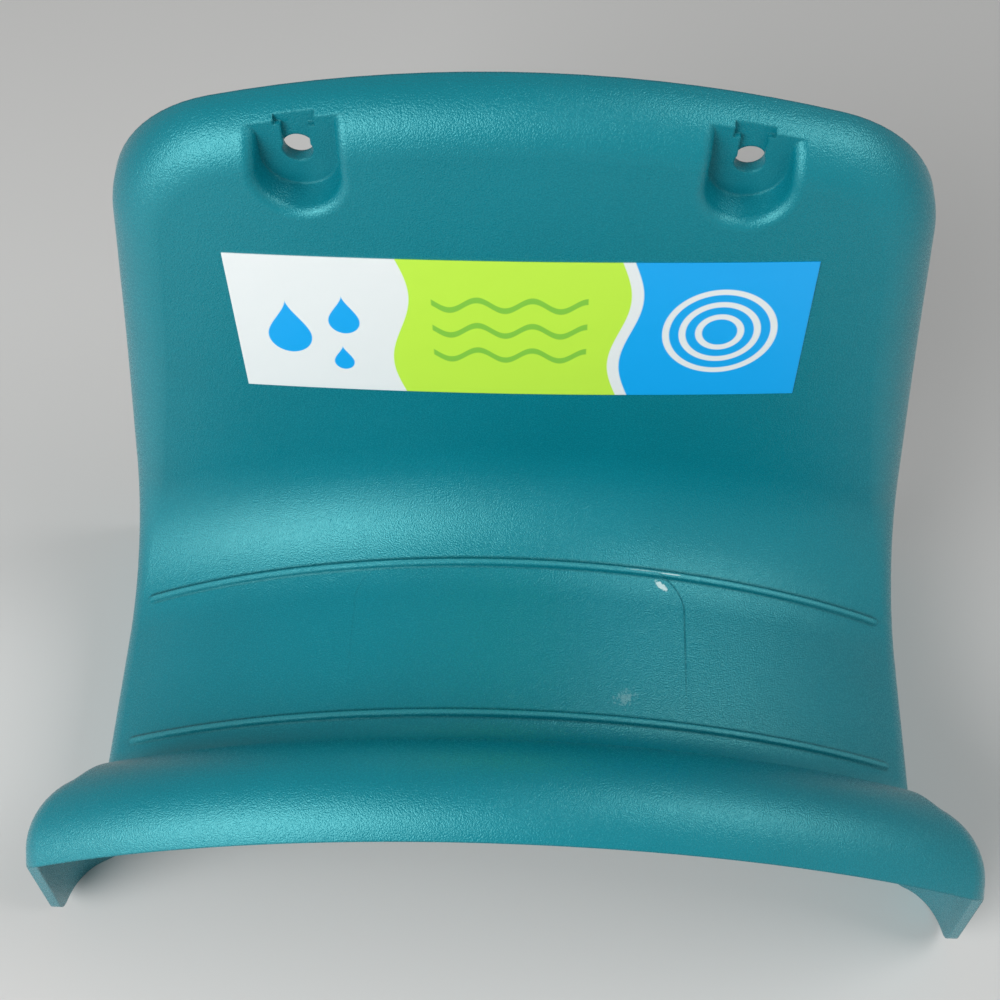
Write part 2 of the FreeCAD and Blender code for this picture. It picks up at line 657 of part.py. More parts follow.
def cut_forward(body, name, draw, offset_text, length_text, draft_text=None):
    """Cut a drawing into the body from an upright plane towards the front."""
    sketch = new_sketch(body, name + "_sketch", "XZ_Plane", offset_text)
    draw(sketch)
    pocket = new_feature(body, "PartDesign::Pocket", name, sketch, Reversed=True,
                         Length=length_text)
    if draft_text:
        pocket.setExpression("TaperAngle", draft_text)
    before = body_volume(body)
    doc.recompute()
    if not pocket.Shape.Volume < before:
        raise RuntimeError(f"{name} cuts nothing")
    return pocket


def body_volume(body):
    """Volume of the body as last worked out."""
    return body.Shape.Volume


def make_core():
    """Hollow of the hood, with room left for the bosses behind the screw recesses."""
    hollow = make_hood("core", size("wall_thickness"), "sizes.wall_thickness")
    core = new_body("hollow")
    core.BaseFeature = hollow
    doc.recompute()
    cut_forward(core, "bosses",
                lambda sketch: draw_recesses(sketch, -size("wall_thickness"), "-sizes.wall_thickness"),
                "sizes.seat_standoff - sizes.seat_thickness",
                "sizes.plate_standoff + 2 * sizes.overrun", "sizes.recess_draft * 1deg")
    return core


def make_hanger():
    """The moulded hanger: hollow hood with screw recesses, beads and round feet."""
    skin = make_hood("outer", 0.0, "0", make_reach())
    shell = doc.addObject("Part::Cut", "shell")
    shell.Base = skin
    shell.Tool = make_core()
    doc.recompute()
    hanger = new_body("hanger_body")
    hanger.BaseFeature = shell
    doc.recompute()
    rim = new_sketch(hanger, "front_rim_sketch", "YZ_Plane")
    add_arch_axis(rim)
    draw_front_rim(rim)
    before = hanger.Shape.Volume
    trim = new_feature(hanger, "PartDesign::Groove", "front_rim", rim,
                       ReferenceAxis=(rim, ["Axis0"]), Midplane=True, Angle=120)
    doc.recompute()
    if not trim.Shape.Volume < before:
        raise RuntimeError("front_rim cuts nothing")
    ahead = "sizes.plate_standoff + 2 * sizes.overrun"
    cut_forward(hanger, "recesses", lambda sketch: draw_recesses(sketch, 0.0, "0"),
                "sizes.seat_standoff", ahead, "sizes.recess_draft * 1deg")
    round_rims(hanger, skin)
    notch_floor = "sizes.seat_standoff - sizes.notch_depth"
    cut_forward(hanger, "notches",
                lambda sketch: draw_notches(sketch, size("notch_width"), "sizes.notch_width", 0.0, "0"),
                notch_floor, "sizes.plate_standoff")
    cut_forward(hanger, "notch_steps",
                lambda sketch: draw_notches(sketch, size("notch_step_width"), "sizes.notch_step_width",
                                            size("notch_step_rise"), "sizes.notch_step_rise"),
                notch_floor, "sizes.plate_standoff")
    cut_forward(hanger, "holes", draw_holes, "0", "sizes.seat_standoff + sizes.overrun")

    sketch = new_sketch(hanger, "beads_sketch", "YZ_Plane")
    add_arch_axis(sketch)
    draw_beads(sketch)
    new_feature(hanger, "PartDesign::Revolution", "beads", sketch,
                ReferenceAxis=(sketch, ["Axis0"]), Midplane=True,
                Angle="2 * asin(sizes.bead_reach / (sizes.arch_axis_drop - sizes.saddle_drop))")
    doc.recompute()
    corner = new_sketch(hanger, "foot_corner_sketch", "YZ_Plane")
    draw_foot_corner(corner)
    new_feature(hanger, "PartDesign::Pocket", "foot_corners", corner, Midplane=True,
                Length="4 * sizes.half_width")
    doc.recompute()
    return hanger


def draw_label(sketch):
    """Rectangle of the label, turned a little about its middle."""
    half_w = size("label_width") / 2
    half_h = size("label_height") / 2
    drop = size("label_drop")
    turn = size("label_turn")
    along = flat(cos_deg(turn), sin_deg(turn))
    up = flat(-sin_deg(turn), cos_deg(turn))
    middle = flat(0, -drop)
    corners = [middle + along * (half_w * u) + up * (half_h * v)
               for u, v in ((-1, -1), (1, -1), (1, 1), (-1, 1))]
    lines = [line(sketch, corners[k], corners[(k + 1) % 4]) for k in range(4)]
    for k in range(4):
        relate(sketch, "Coincident", lines[k], 2, lines[(k + 1) % 4], 1)
    for k in range(3):
        relate(sketch, "Perpendicular", lines[k], lines[k + 1])
    mark = sketch.addGeometry(Part.Point(middle), True)
    relate(sketch, "PointOnObject", mark, 1, -2)
    relate(sketch, "Symmetric", lines[0], 1, lines[2], 1, mark, 1)
    bind(sketch, "drop", "sizes.label_drop", "DistanceY", mark, 1, -1, 1, drop)
    bind(sketch, "turn", "sizes.label_turn * 1deg", "Angle", lines[0], math.radians(turn))
    bind(sketch, "width", "sizes.label_width", "Distance", lines[0], 2 * half_w)
    bind(sketch, "height", "sizes.label_height", "Distance", lines[1], 2 * half_h)


def draw_layer(sketch):
    """Section of a thin layer on the plate's front, from its top down past the label."""
    lean = size("plate_lean")
    standoff = size("plate_standoff")
    thick = size("label_thickness") / cos_deg(lean)
    top = size("top_rise")
    foot = size("label_drop") + size("label_height")

    def plate_at(z, out):
        return flat(-standoff - out + z * tan_deg(lean), z)

    inner = line(sketch, plate_at(-foot, 0), plate_at(top, 0))
    head = line(sketch, plate_at(top, 0), plate_at(top, thick))
    outer = line(sketch, plate_at(top, thick), plate_at(-foot, thick))
    base = line(sketch, plate_at(-foot, thick), plate_at(-foot, 0))
    sides = [inner, head, outer, base]
    for k in range(4):
        relate(sketch, "Coincident", sides[k], 2, sides[(k + 1) % 4], 1)
    relate(sketch, "Horizontal", head)
    relate(sketch, "Horizontal", base)
    relate(sketch, "Parallel", inner, outer)
    mark = sketch.addGeometry(Part.Point(flat(-standoff, 0)), True)
    relate(sketch, "PointOnObject", mark, 1, inner)
    relate(sketch, "PointOnObject", mark, 1, -1)
    bind(sketch, "standoff", "sizes.plate_standoff", "DistanceX", mark, 1, -1, 1, standoff)
    bind(sketch, "lean", "90deg - sizes.plate_lean * 1deg", "Angle", inner, math.radians(90 - lean))
    bind(sketch, "thick", "sizes.label_thickness / cos(sizes.plate_lean * 1deg)", "DistanceX",
         head, 2, head, 1, thick)
    bind(sketch, "top", "sizes.top_rise", "DistanceY", -1, 1, head, 1, top)
    bind(sketch, "foot", "sizes.label_drop + sizes.label_height", "DistanceY", base, 1, -1, 1, foot)


def make_label():
    """Label lying on the plate."""
    blank = new_body("label_blank")
    sketch = new_sketch(blank, "label_blank_sketch", "XZ_Plane")
    draw_label(sketch)
    new_feature(blank, "PartDesign::Pad", "label_blank_pad", sketch,
                Length="sizes.plate_standoff + 2 * sizes.overrun")
    layer = new_body("label_layer")
    section = new_sketch(layer, "label_layer_sketch", "YZ_Plane")
    add_arch_axis(section)
    draw_layer(section)
    new_feature(layer, "PartDesign::Revolution", "label_layer_turn", section,
                ReferenceAxis=(section, ["Axis0"]), Angle=120, Midplane=True)
    label = doc.addObject("Part::MultiCommon", "paper_label")
    label.Shapes = [blank, layer]
    doc.recompute()
    return label


fill_sheet()
sub_parts = [make_hanger(), make_label()]
for sub_part in sub_parts:
    sub_part.setExpression("Placement.Base.y", "sizes.seat_standoff")
doc.recompute()

for item in doc.Objects:
    if "Invalid" in item.State or "Error" in item.State:
        raise RuntimeError(f"{item.Label} failed: {item.State}")
for sub_part in sub_parts:
    if sub_part.Shape.isNull() or not sub_part.Shape.isValid():
        raise RuntimeError(f"{sub_part.Label} has no valid shape")

os.makedirs("parts", exist_ok=True)
for sub_part in sub_parts:
    sub_part.Shape.exportStep(f"parts/{sub_part.Label}.step")
    print(sub_part.Label, round(sub_part.Shape.Volume), len(sub_part.Shape.Faces))
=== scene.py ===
import logging
import math
import operator
from dataclasses import dataclass
from enum import Enum
from functools import reduce
from typing import Any, Union

import bpy
from mathutils import Matrix, Vector


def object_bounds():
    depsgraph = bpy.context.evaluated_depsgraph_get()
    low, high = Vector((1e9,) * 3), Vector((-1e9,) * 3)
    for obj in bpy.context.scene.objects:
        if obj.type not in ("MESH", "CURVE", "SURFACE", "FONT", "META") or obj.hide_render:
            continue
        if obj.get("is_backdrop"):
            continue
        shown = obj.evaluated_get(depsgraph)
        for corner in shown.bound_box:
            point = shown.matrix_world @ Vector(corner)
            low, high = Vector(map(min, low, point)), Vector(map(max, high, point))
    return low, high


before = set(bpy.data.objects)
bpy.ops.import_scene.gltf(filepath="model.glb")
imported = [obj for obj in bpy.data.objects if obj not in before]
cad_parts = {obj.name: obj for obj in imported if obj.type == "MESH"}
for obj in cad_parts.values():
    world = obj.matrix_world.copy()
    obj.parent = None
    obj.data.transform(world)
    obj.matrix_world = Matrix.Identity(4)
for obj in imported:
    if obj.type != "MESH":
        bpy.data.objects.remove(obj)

log = logging.getLogger("hose_hanger")

Colour = tuple[float, float, float]
Point = tuple[float, float, float]
Tint = Union[Colour, bpy.types.NodeSocket]
Number = Union["Value", float]

MM = 0.001


class Value:
    """One number of a node tree, whose operators add Math nodes."""

    def __init__(self, nodes: "Nodes", socket: bpy.types.NodeSocket) -> None:
        """Wrap a socket.

        Args:
            nodes: The tree that takes the new nodes.
            socket: The output that holds the number.
        """
        self.nodes = nodes
        self.socket = socket

    def maths(self, operation: str, *others: Number, swap: bool = False) -> "Value":
        """Work on this number with one Math node.

        Args:
            operation: The Math node's operation.
            others: The further numbers that the operation takes.
            swap: Put this number second, for the reflected operators.

        Returns:
            The result.
        """
        terms: list[Number] = [self, *others]
        if swap:
            terms.reverse()
        node = self.nodes.node("ShaderNodeMath", {"operation": operation},
                               dict(enumerate(terms)))
        return Value(self.nodes, node.outputs[0])

    def __add__(self, other: Number) -> "Value":
        """Sum."""
        return self.maths("ADD", other)

    __radd__ = __add__

    def __sub__(self, other: Number) -> "Value":
        """Difference."""
        return self.maths("SUBTRACT", other)

    def __rsub__(self, other: Number) -> "Value":
        """Difference, the other way round."""
        return self.maths("SUBTRACT", other, swap=True)

    def __mul__(self, other: Number) -> "Value":
        """Product."""
        return self.maths("MULTIPLY", other)

    __rmul__ = __mul__

    def __truediv__(self, other: Number) -> "Value":
        """Quotient."""
        return self.maths("DIVIDE", other)

    def __rtruediv__(self, other: Number) -> "Value":
        """Quotient, the other way round."""
        return self.maths("DIVIDE", other, swap=True)

    def __abs__(self) -> "Value":
        """Size without sign."""
        return self.maths("ABSOLUTE")

    def least(self, other: Number) -> "Value":
        """Smaller of two numbers."""
        return self.maths("MINIMUM", other)

    def most(self, other: Number) -> "Value":
        """Larger of two numbers."""
        return self.maths("MAXIMUM", other)

    def root(self) -> "Value":
        """Square root."""
        return self.maths("SQRT")

    def sine(self) -> "Value":
        """Sine of this number in radians."""
        return self.maths("SINE")

    def clipped(self) -> "Value":
        """This number held between 0 and 1."""
        return self.most(0.0).least(1.0)

    def below(self, edge: Number, soft: float) -> "Value":
        """Mask of where this number lies below an edge.

        Args:
            edge: The number at which the mask is one half.
            soft: The width over which the mask fades.

        Returns:
            1 well below the edge and 0 well above it.
        """
        return ((edge - self) / soft + 0.5).clipped()


def together(masks: list[Value]) -> Value:
    """Put masks together.

    Args:
        masks: The masks, at least one.

    Returns:
        Their sum, held at 1.
    """
    return reduce(operator.add, masks).clipped()


class Nodes:
    """Node tree of a material or a world."""

    def __init__(self, tree: bpy.types.NodeTree) -> None:
        """Start with an empty tree.

        Args:
            tree: The tree, whose own nodes are removed.
        """
        self.tree = tree
        self.tree.nodes.clear()

    def node(self, kind: str, settings: dict[str, Any] | None = None,
             sockets: dict[Any, Any] | None = None) -> bpy.types.Node:
        """Add any node.

        Args:
            kind: The node's type.
            settings: Its settings, which are set first.
            sockets: What its inputs hold: a number, a colour, a link or a Value.

        Returns:
            The node.
        """
        made = self.tree.nodes.new(kind)
        for key, value in (settings or {}).items():
            setattr(made, key, value)
        for key, value in (sockets or {}).items():
            self.feed(made.inputs[key], value)
        return made

    def feed(self, socket: bpy.types.NodeSocket, value: Any) -> None:
        """Link or set one input.

        Args:
            socket: The input.
            value: A Value, an output to link, or a constant.
        """
        if isinstance(value, Value):
            value = value.socket
        if isinstance(value, bpy.types.NodeSocket):
            self.tree.links.new(value, socket)
        else:
            socket.default_value = value


def opaque(colour: Tint) -> Any:
    """Colour as a socket takes it: numbers get full alpha and an output stays."""
    return colour if isinstance(colour, bpy.types.NodeSocket) else (*colour, 1.0)


class Shader(Nodes):
    """Node tree of one material round a Principled shader."""

    EASE_SAMPLES = 4

    def __init__(self, name: str) -> None:
        """Start a material.

        Args:
            name: The material's name.
        """
        self.material = bpy.data.materials.new(name)
        self.material.use_nodes = True
        super().__init__(self.material.node_tree)
        self.surface = self.node("ShaderNodeBsdfPrincipled")
        self.node("ShaderNodeOutputMaterial", sockets={"Surface": self.surface.outputs[0]})

    def dress(self, **inputs: Any) -> None:
        """Feed the Principled shader's inputs, named with underscores for spaces."""
        for key, value in inputs.items():
            self.feed(self.surface.inputs[key.replace("_", " ")], value)

    def place(self) -> tuple[Value, Value, Value]:
        """Place on the object, in millimetres along X, Y and Z."""
        parts = self.node("ShaderNodeSeparateXYZ", sockets={0: self.spot()})
        x, y, z = (Value(self, output) / MM for output in parts.outputs)
        return x, y, z

    def spot(self) -> bpy.types.NodeSocket:
        """Place on the object as a vector, in metres."""
        return self.node("ShaderNodeTexCoord").outputs["Object"]

    def noise(self, grain: float, detail: float = 2.0) -> Value:
        """Soft random pattern between about 0 and 1.

        Args:
            grain: The size of its grains in millimetres.
            detail: How many finer layers it has.

        Returns:
            The pattern.
        """
        pattern = self.node("ShaderNodeTexNoise", sockets={
            "Vector": self.spot(), "Scale": 1.0 / (grain * MM), "Detail": detail})
        return Value(self, pattern.outputs[0])

    def mix(self, mask: Value, low: Tint, high: Tint) -> bpy.types.NodeSocket:
        """Blend two colours.

        Args:
            mask: 0 for the first colour and 1 for the second.
            low: The first colour, as numbers or an output.
            high: The second colour.

        Returns:
            The blend.
        """
        # The Mix node repeats its socket names for each kind of data, so the colour ones go by number.
        blend = self.node("ShaderNodeMix", {"data_type": "RGBA"},
                          {0: mask, 6: opaque(low), 7: opaque(high)})
        return blend.outputs[2]

    def bump(self, height: Value, depth: float, ease: float) -> bpy.types.NodeSocket:
        """Normal of a surface raised by a pattern, with its edges eased.

        Args:
            height: The pattern.
            depth: How high 1 stands, in millimetres.
            ease: The radius that eases the edges, in millimetres.

        Returns:
            The normal.
        """
        eased = self.node("ShaderNodeBevel", {"samples": self.EASE_SAMPLES}, {"Radius": ease * MM})
        bump = self.node("ShaderNodeBump", sockets={
            "Strength": 1.0, "Distance": depth * MM, "Height": height,
            "Normal": eased.outputs[0]})
        return bump.outputs[0]


@dataclass(frozen=True)
class WitnessLine:
    """Faint line that a mould insert leaves on the saddle, sizes in millimetres."""

    middle: float = 2.0
    half_width: float = 41.0
    back: float = -39.5
    front: float = -88.5
    corner: float = 9.0
    fade_start: float = -58.5
    fade_end: float = -76.5
    thickness: float = 0.35
    strength: float = 0.7
    left_share: float = 0.3
    sunk_share: float = 0.6
    top: float = -100.0
    top_fade: float = 2.0

    def mask(self, x: Value, y: Value, z: Value) -> Value:
        """Mask of the line.

        Args:
            x: Place along the wall.
            y: Place towards the wall.
            z: Height.

        Returns:
            1 on the line, fading towards the front and the left.
        """
        half_depth = (self.back - self.front) / 2
        across = (abs(x - self.middle) - (self.half_width - self.corner)).most(0.0)
        along = (abs(y - (self.back + self.front) / 2) - (half_depth - self.corner)).most(0.0)
        away = abs((across * across + along * along).root() - self.corner)
        fade = ((y - self.fade_end) / (self.fade_start - self.fade_end)).clipped()
        rightness = ((x - self.middle) / self.half_width).clipped()
        clear = rightness * (1.0 - self.left_share) + self.left_share
        line = away.below(self.thickness / 2, self.thickness)
        return line * fade * clear * z.below(self.top, self.top_fade)


@dataclass(frozen=True)
class BeadLines:
    """Painted shade along the feet of the saddle's beads and a painted highlight on their crests, in
    millimetres.
    """

    places: tuple[float, float] = (-39.5, -78.7)
    reach: float = 95.5
    reach_fade: float = 1.5
    axis_drop: float = 276.6
    least_radius: float = 171.4
    radius_fade: float = 0.5
    half_width: float = 1.15
    foot: float = 0.55
    foot_strength: float = 0.6
    crest: float = 0.9
    crest_strength: float = 0.5

    def masks(self, x: Value, y: Value, z: Value) -> tuple[Value, Value]:
        """Masks of the painted shade and highlight lines along the beads.

        Args:
            x: Place along the wall.
            y: Place towards the wall.
            z: Height.

        Returns:
            1 along the beads' feet, where shade is painted, and 1 on their crests, where a highlight
            is painted.
        """
        back, front = self.places
        away = abs(y - back).least(abs(y - front))
        rise = z + self.axis_drop
        radius = (x * x + rise * rise).root()
        outside = 1.0 - radius.below(self.least_radius, self.radius_fade)
        on_top = outside * abs(x).below(self.reach, self.reach_fade)
        feet = abs(away - self.half_width).below(self.foot / 2, self.foot)
        crests = away.below(self.crest / 2, self.crest / 2)
        return feet * on_top, crests * on_top


@dataclass(frozen=True)
class Scuff:
    """Small pale rub mark, sizes in millimetres and ragged by a share of its size."""

    x: float
    y: float
    length: float
    width: float
    turn: float
    strength: float
    ragged: float = 1.0

    def mask(self, x: Value, y: Value, noise: Value, swing: float, fade: float) -> Value:
        """Mask of the mark.

        Args:
            x: Place along the wall.
            y: Place towards the wall.
            noise: The pattern that makes its edge ragged.
            swing: How far the pattern moves the edge.
            fade: The share of its size over which it fades.

        Returns:
            How far the surface is rubbed pale.
        """
        angle = math.radians(self.turn)
        dx = x - self.x
        dy = y - self.y
        along = (dx * math.cos(angle) + dy * math.sin(angle)) / (self.length / 2)
        across = (dy * math.cos(angle) - dx * math.sin(angle)) / (self.width / 2)
        rough = (noise - 0.5) * (swing * self.ragged)
        away = (along * along + across * across).root() + rough
        return away.below(1.0, fade) * self.strength


@dataclass(frozen=True)
class GrainedPlastic:
    """Satin moulded plastic with a fine spark-eroded grain, sizes in millimetres."""

    name: str = "grained_teal_plastic"
    colour: Colour = (0.001, 0.18, 0.232)
    rubbed: Colour = (0.62, 0.74, 0.74)
    painted_crest_highlight: Colour = (0.05, 0.33, 0.38)
    gloss: Colour = (0.34, 1.0, 1.0)
    line_and_painted_shade_share: float = 0.45
    roughness: float = 0.27
    grain_roughness: float = 0.12
    rub_roughness: float = 0.2
    specular: float = 1.0
    grain: float = 0.36
    grain_depth: float = 0.15
    ease: float = 0.8
    speckle_share: float = 0.08
    mottle: float = 26.0
    mottle_share: float = 0.08
    rub_grain: float = 0.6
    rub_detail: float = 3.0
    rub_swing: float = 1.6
    rub_fade: float = 0.35
    rub_top: float = -95.0
    rub_top_fade: float = 2.0

    def make(self, line: WitnessLine, beads: BeadLines,
             scuffs: tuple[Scuff, ...]) -> bpy.types.Material:
        """Build the material.

        Args:
            line: The insert's witness line on the saddle.
            beads: The painted shade and highlight lines along the saddle's beads.
            scuffs: The rub marks.

        Returns:
            The material.
        """
        shader = Shader(self.name)
        x, y, z = shader.place()
        grain = shader.noise(self.grain)
        witness = line.mask(x, y, z)
        feet, crests = beads.masks(x, y, z)
        rub = self.rub_mask(shader, x, y, z, scuffs)
        # Darker plastic for the witness line and for the painted shade along the bead feet.
        line_and_painted_shade = self.shade(self.line_and_painted_shade_share)
        tone = self.body_tone(shader, grain)
        tone = shader.mix(witness * line.strength, tone, line_and_painted_shade)
        # Painted shade: the bead feet darkened.
        tone = shader.mix(feet * beads.foot_strength, tone, line_and_painted_shade)
        # Painted highlight: the bead crests lightened.
        tone = shader.mix(crests * beads.crest_strength, tone, self.painted_crest_highlight)
        tone = shader.mix(rub, tone, self.rubbed)
        base = self.roughness - self.grain_roughness / 2
        roughness = (grain * self.grain_roughness + base + rub * self.rub_roughness).clipped()
        height = grain - witness * line.sunk_share
        shader.dress(Base_Color=tone, Roughness=roughness, Specular_IOR_Level=self.specular,
                     Specular_Tint=opaque(self.gloss),
                     Normal=shader.bump(height, self.grain_depth, self.ease))
        return shader.material

    def shade(self, share: float) -> Colour:
        """The plastic's colour made lighter or darker by a share."""
        red, green, blue = self.colour
        return red * share, green * share, blue * share

    def body_tone(self, shader: Shader, grain: Value) -> bpy.types.NodeSocket:
        """Colour of the clean plastic, with a faint mottle and speckle.

        Args:
            shader: The shader that takes the nodes.
            grain: The surface's grain.

        Returns:
            The colour.
        """
        mottle = shader.noise(self.mottle)
        share = self.mottle_share + self.speckle_share
        tint = (mottle * self.mottle_share + grain * self.speckle_share) / share
        return shader.mix(tint.clipped(), self.shade(1.0 - share), self.shade(1.0 + share))

    def rub_mask(self, shader: Shader, x: Value, y: Value, z: Value,
                 scuffs: tuple[Scuff, ...]) -> Value:
        """Mask of all the rub marks, ragged at their edges.

        Args:
            shader: The shader that takes the nodes.
            x: Place along the wall.
            y: Place towards the wall.
            z: Height.
            scuffs: The marks.

        Returns:
            How far the surface is rubbed pale.
        """
        noise = shader.noise(self.rub_grain, self.rub_detail)
        marks = [mark.mask(x, y, noise, self.rub_swing, self.rub_fade) for mark in scuffs]
        return together(marks) * z.below(self.rub_top, self.rub_top_fade)


class LabelInk(Enum):
    """Printed colours of the label."""

    PAPER = (0.80, 0.84, 0.84)
    LIME = (0.53, 0.86, 0.058)
    LEAF = (0.23, 0.58, 0.05)
    SKY = (0.004, 0.39, 0.87)


@dataclass(frozen=True)
class WaterDrop:
    """One drop on the label, sizes in millimetres from the label's middle."""

    along: float
    up: float
    radius: float
    rise: float = 2.3

    def mask(self, u: Value, v: Value, edge: float) -> Value:
        """Mask of the drop: a half round below and a spire above.

        Args:
            u: Place along the label.
            v: Place up the label.
            edge: The width over which it fades.

        Returns:
            1 inside the drop.
        """
        across = abs(u - self.along)
        climb = v - self.up
        dip = climb.least(0.0)
        bowl = (self.radius * self.radius - dip * dip).most(0.0).root()
        share = (climb / (self.rise * self.radius)).clipped()
        spire = (1.0 - share) * (1.0 - share) * (1.0 + share * 2.0)
        return (across - bowl * spire).below(-edge / 2, edge)


@dataclass(frozen=True)
class PrintedPaper:
    """Label paper printed with plain panels, drops, waves and coil rings, in millimetres."""

    name: str = "printed_label_paper"
    roughness: float = 0.38
    fibre: float = 7.0
    fibre_detail: float = 3.0
    fibre_depth: float = 0.12
    ease: float = 0.25
    edge: float = 0.25
    lime_start: float = -26.0
    sky_start: float = 22.0
    stripe: float = 2.6
    swell: float = 2.2
    swell_rate: float = 0.16
    ring_middle: float = 44.0
    ring_radii: tuple[float, ...] = (4.6, 8.2, 11.8)
    ring_width: float = 1.5
    drops: tuple[WaterDrop, ...] = (
        WaterDrop(-51.0, -3.5, 5.0),
        WaterDrop(-38.5, 1.5, 3.6),
        WaterDrop(-39.5, -11.0, 2.4),
    )
    wave_heights: tuple[float, ...] = (-7.5, 0.0, 7.5)
    wave_width: float = 1.7
    wave_swing: float = 1.5
    wave_rate: float = 0.52
    wave_reach: float = 17.0

    def make(self, drop: float, turn: float) -> bpy.types.Material:
        """Build the material.

        Args:
            drop: How far the label's middle lies below the origin, in millimetres.
            turn: The label's turn, in degrees.

        Returns:
            The material.
        """
        shader = Shader(self.name)
        x, _, z = shader.place()
        angle = math.radians(turn)
        rise = z + drop
        u = x * math.cos(angle) + rise * math.sin(angle)
        v = rise * math.cos(angle) - x * math.sin(angle)
        bend = (v * self.swell_rate).sine() * self.swell
        layers = (
            (self.drops_mask(u, v), LabelInk.SKY),
            (self.panel_mask(self.lime_start, bend, u), LabelInk.LIME),
            (self.waves_mask(u, v), LabelInk.LEAF),
            (self.panel_mask(self.sky_start, bend, u), LabelInk.PAPER),
            (self.panel_mask(self.sky_start + self.stripe, bend, u), LabelInk.SKY),
            (self.rings_mask(u, v), LabelInk.PAPER),
        )
        printed: Tint = LabelInk.PAPER.value
        for mask, ink in layers:
            printed = shader.mix(mask, printed, ink.value)
        fibre = shader.noise(self.fibre, self.fibre_detail)
        shader.dress(Base_Color=printed, Roughness=self.roughness,
                     Normal=shader.bump(fibre, self.fibre_depth, self.ease))
        return shader.material

    def panel_mask(self, start: float, bend: Value, u: Value) -> Value:
        """Mask of the label from a curved boundary to its right end.

        Args:
            start: Where the boundary lies along the label.
            bend: How far it swings there.
            u: Place along the label.

        Returns:
            1 to the right of the boundary.
        """
        return (start + bend - u).below(0.0, self.edge)

    def drops_mask(self, u: Value, v: Value) -> Value:
        """Mask of the water drops on the paper panel.

        Args:
            u: Place along the label.
            v: Place up the label.

        Returns:
            1 inside the drops.
        """
        return together([drop.mask(u, v, self.edge) for drop in self.drops])

    def waves_mask(self, u: Value, v: Value) -> Value:
        """Mask of the waves on the lime panel.

        Args:
            u: Place along the label.
            v: Place up the label.

        Returns:
            1 on the waves.
        """
        waves = []
        for height in self.wave_heights:
            away = abs(v - height - (u * self.wave_rate).sine() * self.wave_swing)
            waves.append(away.below(self.wave_width / 2, self.edge))
        middle = (self.lime_start + self.sky_start) / 2
        return together(waves) * abs(u - middle).below(self.wave_reach, self.edge)

    def rings_mask(self, u: Value, v: Value) -> Value:
        """Mask of the coil rings on the sky panel.

        Args:
            u: Place along the label.
            v: Place up the label.

        Returns:
            1 on the rings.
        """
        across = u - self.ring_middle
        away = (across * across + v * v).root()
        half = self.ring_width / 2
        return together([abs(away - radius).below(half, self.edge) for radius in self.ring_radii])


def redress(piece: bpy.types.Object, material: bpy.types.Material) -> None:
    """Give a piece one material in place of all it has.

    Args:
        piece: The piece.
        material: Its finish.
    """
    piece.data.materials.clear()
    piece.data.materials.append(material)


@dataclass(frozen=True)
class HangerBody:
    """The moulded hood: plate, saddle, lip and screw recesses."""

    node: str = "hanger_body"
    finish: GrainedPlastic = GrainedPlastic()
    line: WitnessLine = WitnessLine()
    beads: BeadLines = BeadLines()
    scuffs: tuple[Scuff, ...] = (
        Scuff(37.2, -42.4, 3.6, 1.3, -33.0, 0.95),
        Scuff(39.6, -39.6, 5.6, 0.3, 0.0, 0.85, 0.6),
        Scuff(32.0, -39.5, 7.0, 0.24, 0.0, 0.4, 1.4),
        Scuff(27.8, -72.8, 3.6, 2.4, 30.0, 0.2, 4.6),
    )

    def dress(self) -> bpy.types.Object:
        """Give the body its finish.

        Returns:
            The body.
        """
        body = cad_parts[self.node]
        redress(body, self.finish.make(self.line, self.beads, self.scuffs))
        return body


@dataclass(frozen=True)
class PaperLabel:
    """The label on the plate, sizes in millimetres and degrees."""

    node: str = "paper_label"
    drop: float = 41.7
    turn: float = 1.0
    finish: PrintedPaper = PrintedPaper()

    def dress(self) -> bpy.types.Object:
        """Give the label its print.

        Returns:
            The label.
        """
        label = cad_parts[self.node]
        redress(label, self.finish.make(self.drop, self.turn))
        return label


@dataclass(frozen=True)
class PaleFloor:
    """Plain pale matt floor."""

    name: str = "pale_floor"
    colour: Colour = (0.64, 0.64, 0.63)
    roughness: float = 0.9

    def make(self) -> bpy.types.Material:
        """Build the material."""
        shader = Shader(self.name)
        shader.dress(Base_Color=opaque(self.colour), Roughness=self.roughness)
        return shader.material


class LampRole(Enum):
    """What a lamp is for."""

    KEY = "key"
    FILL = "fill"
    SIDE = "side"


@dataclass(frozen=True)
class SoftLamp:
    """Oblong soft lamp, sizes in metres and watts."""

    role: LampRole
    place: Point
    width: float
    height: float
    power: float

    def hang(self, target: Vector) -> bpy.types.Object:
        """Put the lamp up.

        Args:
            target: What it points at.

        Returns:
            The lamp.
        """
        data = bpy.data.lights.new(self.role.value, "AREA")
        data.shape = "RECTANGLE"
        data.size = self.width
        data.size_y = self.height
        data.energy = self.power
        lamp = bpy.data.objects.new(self.role.value, data)
        lamp.location = self.place
        lamp.rotation_euler = (target - lamp.location).to_track_quat("-Z", "Y").to_euler()
        bpy.context.scene.collection.objects.link(lamp)
        return lamp


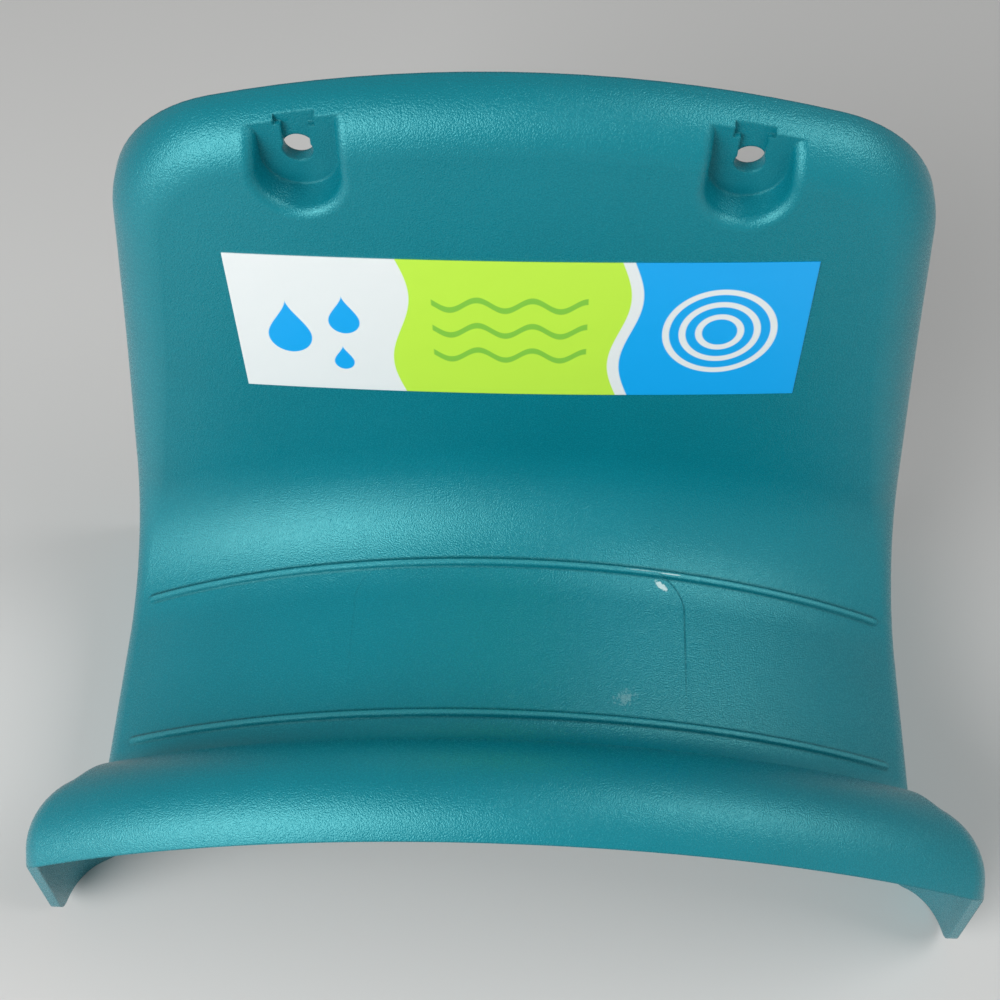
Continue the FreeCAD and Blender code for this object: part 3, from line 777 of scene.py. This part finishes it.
@dataclass(frozen=True)
class Studio:
    """Floor, lamps, world and camera, in metres and degrees."""

    floor_height: float
    floor_radius: float = 0.95
    floor_corners: int = 128
    floor: PaleFloor = PaleFloor()
    even_light: float = 0.17
    background: float = 0.36
    target: Point = (0.0, -0.05, -0.07)
    lamps: tuple[SoftLamp, ...] = (
        SoftLamp(LampRole.KEY, (-0.58, -0.62, 0.42), 0.7, 0.8, 9.8),
        SoftLamp(LampRole.FILL, (0.69, -0.63, 0.35), 0.8, 0.8, 0.8),
        SoftLamp(LampRole.SIDE, (0.62, -0.07, 0.72), 0.5, 0.5, 4.0),
    )
    camera_place: Point = (0.0021, -0.20026, 0.2221)
    camera_pitch: float = 61.24
    camera_yaw: float = 1.89
    camera_roll: float = -0.11
    camera_lens: float = 52.6
    camera_sensor: float = 36.0
    camera_clip: float = 0.01

    def lay_floor(self) -> bpy.types.Object:
        """Lay the floor under the feet.

        Returns:
            The floor.
        """
        bpy.ops.object.select_all(action="DESELECT")
        bpy.ops.mesh.primitive_circle_add(vertices=self.floor_corners, radius=self.floor_radius,
                                          fill_type="NGON",
                                          location=(0.0, 0.0, self.floor_height))
        floor = bpy.context.object
        floor.name = "floor"
        redress(floor, self.floor.make())
        floor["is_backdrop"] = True
        return floor

    def hang_lamps(self) -> list[bpy.types.Object]:
        """Hang the lamps round the object and list them."""
        return [lamp.hang(Vector(self.target)) for lamp in self.lamps]

    def light_world(self) -> bpy.types.World:
        """Set an even light and a paler background.

        Returns:
            The world.
        """
        world = bpy.data.worlds.new("studio")
        world.use_nodes = True
        nodes = Nodes(world.node_tree)
        rays = nodes.node("ShaderNodeLightPath").outputs
        seen = Value(nodes, rays["Is Camera Ray"])
        for kind in ("Is Glossy Ray", "Is Transmission Ray"):
            seen = seen.most(Value(nodes, rays[kind]))
        strength = seen * (self.background - self.even_light) + self.even_light
        sky = nodes.node("ShaderNodeBackground",
                         sockets={"Color": (1.0, 1.0, 1.0, 1.0), "Strength": strength})
        nodes.node("ShaderNodeOutputWorld", sockets={"Surface": sky.outputs[0]})
        bpy.context.scene.world = world
        return world

    def stand_camera(self) -> bpy.types.Object:
        """Stand the camera at the photographed angle.

        Returns:
            The camera.
        """
        pitch, yaw, roll = (math.radians(angle) for angle in
                            (self.camera_pitch, self.camera_yaw, self.camera_roll))
        ahead = Vector((-math.sin(yaw) * math.cos(pitch), math.cos(yaw) * math.cos(pitch),
                        -math.sin(pitch)))
        right = Vector((math.cos(yaw), math.sin(yaw), 0.0))
        down = ahead.cross(right)
        turned = right * math.cos(roll) + down * math.sin(roll)
        up = right * math.sin(roll) - down * math.cos(roll)
        data = bpy.data.cameras.new("camera")
        data.sensor_width = self.camera_sensor
        data.lens = self.camera_lens
        data.clip_start = self.camera_clip
        camera = bpy.data.objects.new("camera", data)
        stance = Matrix((turned, up, -ahead)).transposed().to_4x4()
        stance.translation = Vector(self.camera_place)
        camera.matrix_world = stance
        bpy.context.scene.collection.objects.link(camera)
        bpy.context.scene.camera = camera
        return camera


def main() -> None:
    """Dress the hanger and set the studio, with the floor at the hanger's lowest point."""
    logging.basicConfig(level=logging.INFO, format="%(name)s: %(message)s")
    cad_box = [list(corner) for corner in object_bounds()]
    for part in (HangerBody(), PaperLabel()):
        log.info("dressed %s", part.dress().name)
    lowest = cad_box[0][2]
    studio = Studio(lowest)
    log.info("laid %s", studio.lay_floor().name)
    log.info("hung %d lamps", len(studio.hang_lamps()))
    log.info("lit %s", studio.light_world().name)
    log.info("stood %s", studio.stand_camera().name)
    bpy.context.scene.view_settings.view_transform = "Standard"


if __name__ == "__main__":
    main()
